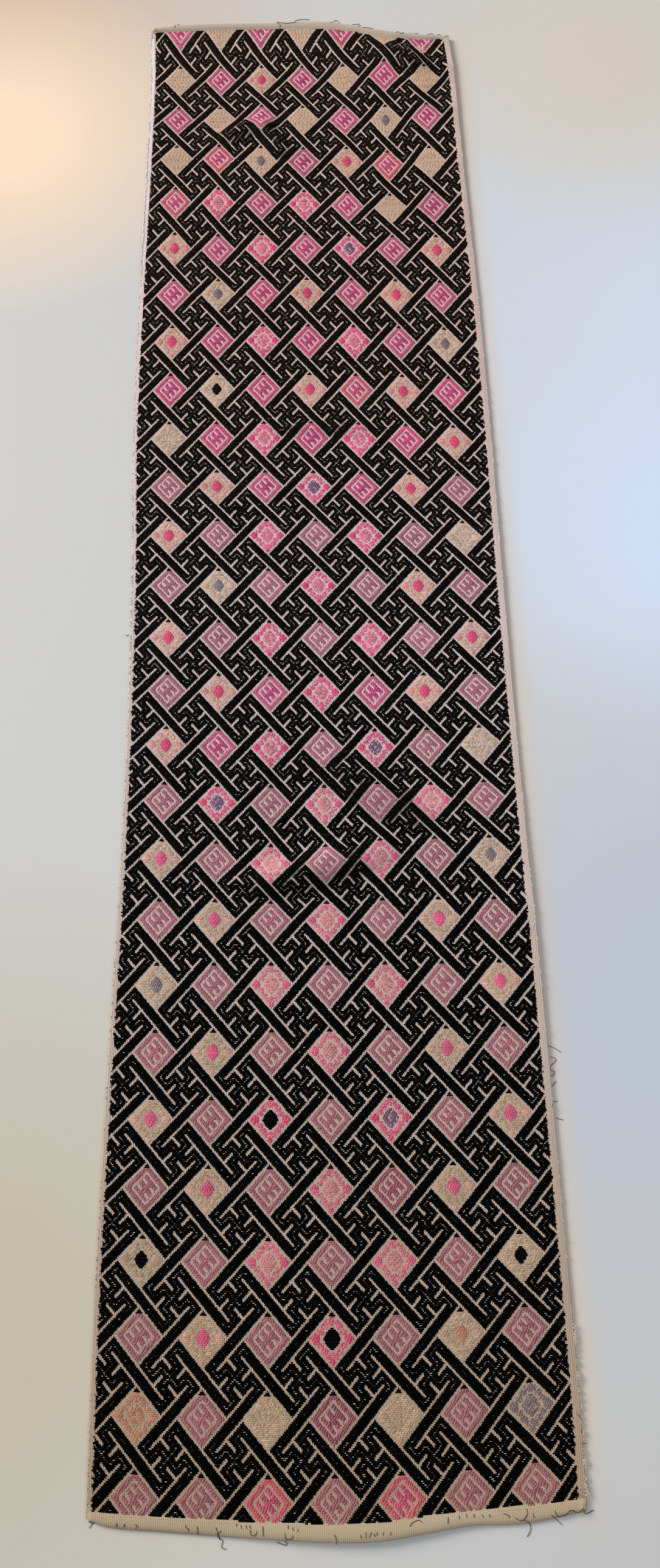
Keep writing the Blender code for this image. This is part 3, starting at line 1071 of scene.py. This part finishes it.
ribs = {  # of the ground, where it shows
    "crest": 0.30,  # mm
    "groove": -0.12,
    # painted shade in the grooves between ribs: their dye is darkened this much
    "paintedGrooveShade": 0.76,
    "paintedShallowGrooveShade": 0.86,  # the same painted groove shade, lighter along the far hem and the left edge, where the ribs are worn smooth
    "steps": (3, 18),  # along one rib, where the cloth is flat and where it is puckered
    "puckered": 0.05,  # mm of lift, at any of the places tried along a rib
    "tried": 9,
    "least": 0.03,  # repeats, half the shortest rib
    "columns": (-0.4, 6.4),
    "hemColumns": (-0.74, 6.84),
    "hemSteps": 6,
    "hemClear": 1.1,  # times the step down from a hem
    "foldGap": 0.004,  # rows
    "edgeRows": (0.06, 26.1, 260),  # first, last and how many places along an edge rib
    "edgeFade": 14,  # rows over which the edges turn from their own dye to the ground's
}


def groundDye(columns, rows):  # ecru, tinted where the dyes of a figure have run
    ecru = np.array(clothLook["ground"])
    dye = np.tile(ecru, (columns.size, 1))
    far, near, fadeRow = motifs["stain"]
    column, row = columns.ravel(), rows.ravel()
    for j, line in enumerate(motifs["chart"]):
        share = far + (near - far) * min(j / fadeRow, 1)
        for i, code in enumerate(line.split()):
            name = motifs["stainDyes"]["key" if code in motifs["keys"] else code[0]]
            inside = np.abs(column - i) + np.abs(row - j) < motifs["inside"]
            dye[inside] = ecru * (1 - share) + share * np.array(motifs["dyes"][name])
    return dye


def ridge(column, row):  # along each line of places: groove, crest, groove
    half = 0.5 / clothLook["ribsPerColumn"]
    rows = np.repeat(row[:, :, None], 3, axis=2)
    columns = column[:, :, None] + np.array((-half, 0.0, half)) + 0 * rows
    up = np.array((ribs["groove"], ribs["crest"], ribs["groove"])) + 0 * rows
    return columns, rows, up


def ribPatches(column, fromRow, toRow, steps):
    share = np.linspace(0, 1, steps + 1)
    return ridge(column[:, None], fromRow[:, None] + (toRow - fromRow)[:, None] * share)


def makeRibs(material):
    perColumn = clothLook["ribsPerColumn"]
    places = []  # each with its columns, rows and heights, its dye, and how dark its grooves are
    first, last = (int(x * perColumn) for x in ribs["columns"])
    centre = (np.arange(first, last) + 0.5) / perColumn
    half = fret["diamond"] - np.abs(centre - np.round(centre))
    shown = half > ribs["least"]
    diamond = np.arange(len(motifs["chart"]))[:, None]
    column = np.tile(centre[shown], len(diamond))
    fromRow = (diamond - half[shown]).ravel()
    toRow = (diamond + half[shown]).ravel()
    tried = fromRow[:, None] + (toRow - fromRow)[:, None] * np.linspace(0, 1, ribs["tried"])
    isPuckered = lift(column[:, None], tried).max(axis=1) > ribs["puckered"]
    for these, steps in zip((~isPuckered, isPuckered), ribs["steps"]):
        columns, rows, up = ribPatches(column[these], fromRow[these], toRow[these], steps)
        dye = groundDye(columns, rows)
        columns, rows = pulled(columns, rows)
        farEnd, nearEnd = hemLines(columns)[1:3]
        clear = ribs["hemClear"] * hemStepRows
        rows = np.clip(rows, farEnd + clear, nearEnd - clear)
        places.append((columns, rows, up, dye, ribs["paintedGrooveShade"]))

    first, last = (x * perColumn for x in ribs["hemColumns"])
    centre = (np.arange(math.floor(first), math.ceil(last)) + 0.5) / perColumn
    farFold, farEnd, nearEnd, nearFold = hemLines(centre)
    farRibs = ribPatches(centre, farFold + ribs["foldGap"], farEnd + hemStepRows, ribs["hemSteps"])
    nearRibs = ribPatches(centre, nearEnd - hemStepRows, nearFold - ribs["foldGap"], ribs["hemSteps"])
    places.append((*farRibs, clothLook["farHem"], ribs["paintedShallowGrooveShade"]))
    places.append((*nearRibs, clothLook["nearHem"], ribs["paintedGrooveShade"]))
    edgeRows = np.linspace(*ribs["edgeRows"])
    toNear = np.repeat(np.clip(edgeRows / ribs["edgeFade"], 0, 1), 3)[:, None]
    for edge, inward, count, name, groove in (
        (leftEdge, 1, 3, "leftSelvedge", ribs["paintedShallowGrooveShade"]),
        (rightEdge, -1, 4, "rightSelvedge", ribs["paintedGrooveShade"]),
    ):
        dye = (1 - toNear) * np.array(clothLook[name]) + toNear * np.array(clothLook["ground"])
        for k in range(count):
            middle = edge(edgeRows) + inward * (k + 0.5) / perColumn
            places.append((*ridge(middle[None], edgeRows[None]), dye, groove))

    batches = []
    for columns, rows, up, dye, groove in places:
        # painted shade: each rib's two groove edges take a darker dye than its crest
        shade = np.broadcast_to(np.array((groove, 1.0, groove)), columns.shape).reshape(-1, 1)
        columns = np.clip(columns, leftEdge(rows), rightEdge(rows))
        weave = np.stack([columns, rows], axis=-1)
        batches.append((onCloth(columns, rows, up), weave, shade * np.array(dye)))
    return makePatches("groundRibs", batches, material)


selvedgeLoops = {  # turns of the weft along the long edges
    "sides": (  # edge, first and last row, how many, shortest and longest, least and most reach out, mm
        ("left", -0.05, 5.5, 280, 3.5, 8.0, 0.2, 2.2),
        ("left", 5.0, 14.0, 170, 1.6, 4.5, 0.3, 1.3),
        ("left", 14.0, 26.2, 120, 1.2, 2.6, 0.2, 0.7),
        ("right", 0.2, 14.0, 60, 1.2, 3.0, 0.2, 0.6),
        ("right", 14.0, 24.0, 50, 1.2, 3.0, 0.2, 0.7),
        ("right", 24.0, 26.2, 60, 1.6, 4.5, 0.6, 2.6),
    ),
    "thread": 0.38,  # mm, half its thickness
    "white": dyed(248, 246, 243),
    "ecru": dyed(206, 188, 158),
    "ecruRows": 16,  # rows over which the left loops turn from white to ecru
    "ecruRight": 0.6,  # how far the right loops have
    "lean": 0.35,  # of a loop's reach
    "root": 0.8,  # mm inside the edge
    "height": (0.9, 1.7),  # mm
    "rise": 0.4,  # mm more at the tip
    "tone": (0.75, 1.0),
    "thick": (0.7, 1.1),
    "stations": 7,
}

looseThreads = {  # each is a line of places in mm across and along, as it lies
    "dark": (
        ((-191, -809.5), (-187.5, -809), (-188, -811), (-190, -814)),
        ((-190.5, -808), (-188, -810.5), (-185, -809.5)),
        ((-167.5, -809.5), (-167, -811), (-167.5, -812.5)),
        ((-152.5, -810.5), (-150.5, -811.5), (-152, -813.5)),
        ((-102, -811.5), (-101, -815.5), (-101.5, -818.5)),
        ((-86.5, -812.5), (-85, -816.5), (-83, -822.5)),
        ((-82, -815), (-85.5, -817.5), (-83.5, -822)),
        ((-82, -821.5), (-81, -823.5), (-82, -826.5), (-80.5, -828.5), (-78, -828.5)),
        ((-59, -814), (-57.5, -818), (-54.5, -817.5), (-53, -815)),
        ((-48.5, -811.5), (-48, -818.5)),
        ((-30.5, -816), (-29.5, -820), (-25, -820), (-24, -817.5)),
        ((-29.5, -820.5), (-30.5, -823), (-28.5, -824.5), (-30, -826), (-33.5, -825), (-37, -824)),
        ((9.5, -816.5), (11, -820), (11.5, -825.5)),
        ((70.5, -811), (73, -808.5), (78, -807), (81, -808.5)),
        ((102, -805), (101.5, -809.5)),
        ((147, -802.5), (151.5, -804), (151.5, -805.5)),
        ((156.5, -805.5), (160, -807.5), (163.5, -807), (166.5, -803), (166.5, -799.5)),
        ((163, -807), (168, -809.5), (169.5, -813.5), (168, -817.5), (166, -820)),
        ((171, -802.5), (172, -805.5)),
        ((186, -803.5), (190.5, -807.5), (195, -811.5)),
        ((189, -800.5), (191, -804.5), (194.5, -805), (198.5, -803.5), (201.5, -800.5), (205, -800.5)),
        ((204, -801), (208.5, -802), (212.5, -799), (213.5, -802.5), (216, -803.5), (221.5, -801)),
        ((205.5, -429), (211, -431), (217.5, -435)),
        ((207, -439), (212, -440.5), (211, -443.5), (207, -447.5), (206.5, -451)),
        ((206.5, -451), (210, -452), (209, -456), (206.5, -455)),
        ((211, -460.5), (208.5, -464), (206, -466)),
        ((211.5, -478), (207.5, -479), (205.5, -483.5)),
        ((209, -492.5), (212, -493.5), (215.5, -494.5)),
        ((214.5, -741.5), (215.5, -746.5)),
        ((212, -730), (213.5, -731.5), (216, -735)),
        ((214, -752), (219, -753)),
        ((-203.5, -16.5), (-202, -17), (-200.5, -15.5)),
        ((-215, 807.5), (-214, 810.5), (-211, 810), (-207.5, 809.5)),
        ((-211.5, 808), (-208.5, 806)),
        ((-187.5, 810), (-185.5, 815), (-182.5, 820)),
        ((-59.5, 818), (-56, 815), (-56.5, 810)),
        ((-60.5, 820), (-49, 817), (-36, 819)),
        ((-38.5, 825), (-30, 828), (-19.5, 827)),
        ((6.5, 818), (10, 822), (11.5, 826), (15.5, 825), (19.5, 818)),
        ((28.5, 816), (34.5, 819), (40.5, 820), (43.5, 819), (42.5, 812), (39, 815)),
        ((46.5, 810), (52.5, 810), (58.5, 809), (60, 812)),
        ((87.5, 802), (95, 805), (97, 801), (92, 800)),
        ((105.5, 802), (108.5, 805), (110.5, 801), (113, 805), (116, 803), (113.5, 800)),
        ((125, 802), (132.5, 804), (137, 800), (141.5, 803), (149, 797)),
    ),
    "stitches": (  # short dark stitches along the near hem
        (-161, -811), (-111, -812), (-109, -814), (-70, -811), (-66, -812), (-62, -812), (-59, -812),
        (-28, -812), (-24, -813), (-20, -814), (31, -818), (35, -818), (38, -818), (42, -817), (35, -816),
        (39, -816), (44, -816), (49, -816), (55, -816), (111, -805), (117, -804), (123, -804), (130, -804),
        (136, -804),
    ),
    "pale": (
        ((214, -777), (217, -775.5), (217, -777), (213.5, -778.5)),
        ((217, -780), (218, -783), (214.5, -787)),
        ((218, -782), (219.5, -787.5)),
        ((214.5, -771.5), (217.5, -773), (216.5, -775)),
        ((191.5, -285), (194.5, -295), (201, -305.5), (198, -317), (194, -329)),
        ((-198, 62), (-197, 63), (-195.5, 64)),
        ((-199.5, 41), (-200, 34.5)),
    ),
    "darkThread": (0.26, dyed(46, 38, 34)),  # mm, half its thickness, and its dye
    "paleThread": (0.24, dyed(228, 222, 214)),
    "halfStitch": 1.1,  # mm
    "slant": 0.5,  # mm, the most that a stitch leans
    "above": 0.45,  # mm over whatever it lies on
    "stations": 14,
}


def placeOf(across, along):  # the column and row of a place in mm
    column = clothLay["middleColumn"] + across / columnPitch
    row = clothLay["middleRow"] - along / rowPitch
    for attempt in range(12):  # each one comes closer
        acrossNow, alongNow = lie(column, row)
        column = column + (across - acrossNow) / columnPitch
        row = row - (along - alongNow) / rowPitch
    return column, row


def restHeight(across, along):  # the top of whatever lies at a place, in mm
    column, row = placeOf(across, along)
    farFold, nearFold = hemLines(column)[::3]
    isOver = (column > leftEdge(row)) & (column < rightEdge(row)) & (row > farFold) & (row < nearFold)
    return np.where(isOver, lift(column, row) + thickness(column, row), 0.0)


def curveThrough(places, stations, samples=40):  # evenly spaced points on a smooth curve
    places = np.array(places, float)
    keys = np.arange(len(places), dtype=float)
    table = np.concatenate([keys[:, None], places], axis=1)
    fine = np.linspace(0, keys[-1], samples)
    path = np.stack([through(table, 1, fine), through(table, 2, fine)], axis=1)
    run = np.concatenate([[0], np.cumsum(np.linalg.norm(np.diff(path, axis=0), axis=1))])
    at = np.linspace(0, run[-1], stations)
    return np.stack([np.interp(at, run, path[:, 0]), np.interp(at, run, path[:, 1])], axis=1)


def threadTubes(paths, radius):  # round each path, in mm: four sides and two ends
    forward = np.gradient(paths, axis=1)
    forward /= np.linalg.norm(forward, axis=2, keepdims=True)
    side = np.cross(forward, (0.0, 0.0, 1.0))
    side /= np.linalg.norm(side, axis=2, keepdims=True) + 1e-9
    over = np.cross(side, forward)
    radius = np.asarray(radius)[..., None, None]
    corners = []
    for k in range(4):
        turn = (k + 0.5) * math.pi / 2
        corners.append(paths + radius * (math.cos(turn) * side + math.sin(turn) * over))
    points = np.stack(corners, axis=2)
    count, stations = points.shape[:2]
    at = np.arange(count * stations * 4).reshape(count, stations, 4)
    turned = np.roll(at, -1, axis=2)
    walls = np.stack([at[:, :-1], at[:, 1:], turned[:, 1:], turned[:, :-1]], axis=-1).reshape(-1, 4)
    ends = np.concatenate([at[:, 0], at[:, -1, ::-1]])
    return points.reshape(-1, 3) * mm, np.concatenate([walls, ends])


def makeSelvedgeLoops(material):
    paths, dyes = [], []
    white, ecru = np.array(selvedgeLoops["white"]), np.array(selvedgeLoops["ecru"])
    root = selvedgeLoops["root"]
    turn = np.linspace(0, math.pi, selvedgeLoops["stations"])
    for side, firstRow, lastRow, count, shortest, longest, least, most in selvedgeLoops["sides"]:
        edge, outward = (leftEdge, -1) if side == "left" else (rightEdge, 1)
        row = dice.uniform(firstRow, lastRow, count)[:, None]
        wide = dice.uniform(shortest, longest, (count, 1))
        reach = dice.uniform(least, most, (count, 1))
        lean = dice.normal(0, selvedgeLoops["lean"], (count, 1)) * reach
        rows = row + (-np.cos(turn) * wide / 2 + lean * np.sin(turn)) / rowPitch
        out = -root + (reach + root) * np.sin(turn)
        columns = edge(row) + outward * out / columnPitch
        across, along = lie(columns, rows)
        up = dice.uniform(*selvedgeLoops["height"], (count, 1))
        up = up + selvedgeLoops["rise"] * np.sin(turn) + lift(columns, rows)
        paths.append(np.stack([across, along, up], axis=-1))
        share = selvedgeLoops["ecruRight"]
        if side == "left":
            share = np.clip(row / selvedgeLoops["ecruRows"], 0, 1)
        tone = dice.uniform(*selvedgeLoops["tone"], (count, 1))
        dyes.append(((1 - share) * white + share * ecru) * tone)
    paths = np.concatenate(paths)
    radius = selvedgeLoops["thread"] * dice.uniform(*selvedgeLoops["thick"], len(paths))
    points, faces = threadTubes(paths, radius)
    dye = np.repeat(np.concatenate(dyes), len(points) // len(paths), axis=0)
    return makePiece("selvedgeLoops", points, faces, material, dye)


def makeLooseThreads(name, lines, thread, material):
    radius, colour = thread
    paths = []
    for places in lines:
        flat = curveThrough(places, looseThreads["stations"])
        up = restHeight(flat[:, 0], flat[:, 1])
        soft = np.convolve(np.pad(up, 1, mode="edge"), (0.25, 0.5, 0.25), mode="valid")
        up = np.maximum(up, soft) + looseThreads["above"]
        paths.append(np.column_stack([flat, up]))
    paths = np.array(paths)
    points, faces = threadTubes(paths, np.full(len(paths), radius))
    return makePiece(name, points, faces, material, np.tile(colour, (len(points), 1)))


view = {
    "place": (0.006, -0.538, 1.0993),  # m, over the near half of the panel
    "tilt": 18.192,  # degrees from straight down, towards the far end
    "lens": 27.042,  # mm
    "sensor": 36,  # mm
}


def makeCamera():
    bpy.ops.object.select_all(action="DESELECT")
    bpy.ops.object.camera_add(location=view["place"], rotation=(math.radians(view["tilt"]), 0, 0))
    camera = bpy.context.object
    camera.name = "viewCamera"
    camera.data.lens = view["lens"]
    camera.data.sensor_width = view["sensor"]
    bpy.context.scene.camera = camera


studio = {
    "floorSize": 6.0,
    "floor": dyed(204, 204, 201),
    "cloud": (1.6, 0.96),  # scale of the paint's unevenness, and how dark it goes
    "patches": (  # painted light and shade on the floor, warm and cool pools of light and shadow beside the panel: centre, reach in m, and the colour there
        ((-0.46, 0.86, 0.0), 0.46, dyed(206, 180, 157)),
        ((-0.38, 0.64, 0.0), 0.27, dyed(246, 220, 192)),
        ((0.48, 0.30, 0.0), 0.60, dyed(208, 216, 230)),
        ((0.40, 0.10, 0.0), 0.26, dyed(206, 221, 243)),
        ((0.33, 0.76, 0.0), 0.26, dyed(211, 204, 189)),
        ((0.36, -0.40, 0.0), 0.42, dyed(186, 193, 205)),
        ((0.36, -0.88, 0.0), 0.42, dyed(191, 191, 188)),
        ((-0.32, -0.66, 0.0), 0.42, dyed(196, 189, 167)),
    ),
    "patchGain": 1.3,
    "edgeShadowAndReflection": (0.187, -0.039, 0.024, dyed(214, 190, 158)),  # a painted warm shadow and reflection on the floor beside the right edge: x, slope, reach and its colour
    "edgeEnds": (-12.0, 9.9),  # how fast it fades by the panel's ends
    "edgeShare": 0.6,
    "air": (0.86, 0.90, 0.96),
    "airStrength": 0.42,
    "lights": (  # name, place, aims at, size, watts, colour
        ("windowLight", (-7.0, 4.2, 4.2), (0.0, 0.0, 0.0), 3.4, 1000.0, (1.0, 0.95, 0.91)),
        ("fillLight", (1.5, -0.7, 1.9), (0.2, -0.2, 0.0), 1.6, 15.0, (0.88, 0.94, 1.0)),
    ),
}


def floorFinish():
    finish = Finish("palePaint", Roughness=0.45, Specular_IOR_Level=0.4)
    place = finish.place()
    scale, dark = studio["cloud"]
    shaded = tuple(dark * c for c in studio["floor"]) + (1,)
    colour = finish.mix(finish.noise(place, scale, 1.0), shaded, studio["floor"] + (1,))
    # painted pools of light and painted shadows on the floor
    for centre, reach, paintedLightColour in studio["patches"]:
        away = finish.node("ShaderNodeVectorMath", {"operation": "DISTANCE"}, [place, centre], "Value")
        colour = finish.mix((away * (-1 / reach) + 1.0) * studio["patchGain"], colour, paintedLightColour + (1,))
    # painted shadow and reflection: a warm band along the right edge, fading by the panel's ends
    edgeX, slope, reach, shadowReflectionColour = studio["edgeShadowAndReflection"]
    fall, start = studio["edgeEnds"]
    across, along = finish.part(place, "X"), finish.part(place, "Y")
    away = across.math("ABSOLUTE", across - along * slope - edgeX)
    beside = along.math("MINIMUM", along.math("ABSOLUTE", along) * fall + start, 1.0)
    beside = along.math("MAXIMUM", beside, 0.0)
    share = (away * (-1 / reach) + 1.0) * beside * studio["edgeShare"]
    finish.feed("Base Color", finish.mix(share, colour, shadowReflectionColour + (1,)))
    return finish.material


def makeStudio():
    bpy.ops.object.select_all(action="DESELECT")
    bpy.ops.mesh.primitive_plane_add(size=studio["floorSize"], location=(0, 0, 0))
    floor = bpy.context.object
    floor.name = "paleFloor"
    floor.data.materials.append(floorFinish())
    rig.stage(floor)
    world = bpy.data.worlds.new("softAir")
    world.use_nodes = True
    background = world.node_tree.nodes["Background"]
    background.inputs["Color"].default_value = studio["air"] + (1,)
    background.inputs["Strength"].default_value = studio["airStrength"]
    bpy.context.scene.world = world
    for name, place, target, size, watts, colour in studio["lights"]:
        bpy.ops.object.light_add(type="AREA", location=place)
        light = bpy.context.object
        light.name = name
        light.data.size = size
        light.data.energy = watts
        light.data.color = colour
        aim = np.array(target) - np.array(place)
        flat = math.hypot(aim[0], aim[1])
        light.rotation_euler = (math.atan2(flat, -aim[2]), 0, math.atan2(-aim[0], aim[1]))
    bpy.context.scene.view_settings.view_transform = "Standard"


makeCamera()
print("camera placed")
clothMaterial = clothFinish("ecruCloth", clothLook["ribDepth"], False)
ribMaterial = clothFinish("ecruRibs", clothLook["beadDepth"], True)
cloth = makeGroundCloth(clothMaterial)
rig.replaces(cloth, "blanket_panel")
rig.slot(cloth, "ecru_cloth")
groundRibs = makeRibs(ribMaterial)
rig.slot(groundRibs, "ecru_cloth")
print("ground cloth made")

blackMaterial = yarnFinish("blackYarn")
dyedMaterial = yarnFinish("dyedYarn", True)
threadMaterial = yarnFinish("groundThread")
woven, ties = chartPattern()
row, kind = woven[2:4]
isBlack = kind == blackYarn
isKey = np.isin(kind, [yarnNumber(name) for names in motifs["keys"].values() for name in names])
pieces = [groundRibs]
for name, fromRow, toRow in floats["blackParts"]:
    chosen = isBlack & (row >= fromRow) & (row < toRow)
    piece = makeFloats(name, [x[chosen] for x in woven], blackMaterial)
    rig.slot(piece, "black_yarn")
    pieces.append(piece)
dyedParts = (("keyYarn", isKey, "purple_yarn"), ("flowerYarn", ~isKey & ~isBlack, "flower_yarn"))
for name, chosen, slot in dyedParts:
    piece = makeFloats(name, [x[chosen] for x in woven], dyedMaterial)
    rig.slot(piece, slot)
    pieces.append(piece)
stitches = makeTies(ties, threadMaterial)
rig.slot(stitches, "ecru_cloth")
pieces.append(stitches)
print("pattern woven:", len(row), "floats")

loops = makeSelvedgeLoops(threadMaterial)
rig.slot(loops, "ecru_cloth")
darkLines = list(looseThreads["dark"])
half = looseThreads["halfStitch"]
for across, along in looseThreads["stitches"]:
    slant = dice.uniform(-looseThreads["slant"], looseThreads["slant"])
    darkLines.append(((across - slant, along + half), (across + slant, along - half)))
dark, pale = looseThreads["darkThread"], looseThreads["paleThread"]
darkThreads = makeLooseThreads("hemThreads", darkLines, dark, threadMaterial)
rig.slot(darkThreads, "black_yarn")
paleThreads = makeLooseThreads("paleThreads", looseThreads["pale"], pale, threadMaterial)
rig.slot(paleThreads, "ecru_cloth")
pieces += [loops, darkThreads, paleThreads]
print("edges and loose threads made")

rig.sheet(cloth, flat=groundCloth["flat"], held="laid", with_pieces=pieces)
makeStudio()
print("studio lit")

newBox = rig.bounds()
with open("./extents.json", "w") as sizeFile:
    json.dump({"cad": [list(c) for c in cadBox], "visual": [list(c) for c in newBox]}, sizeFile)
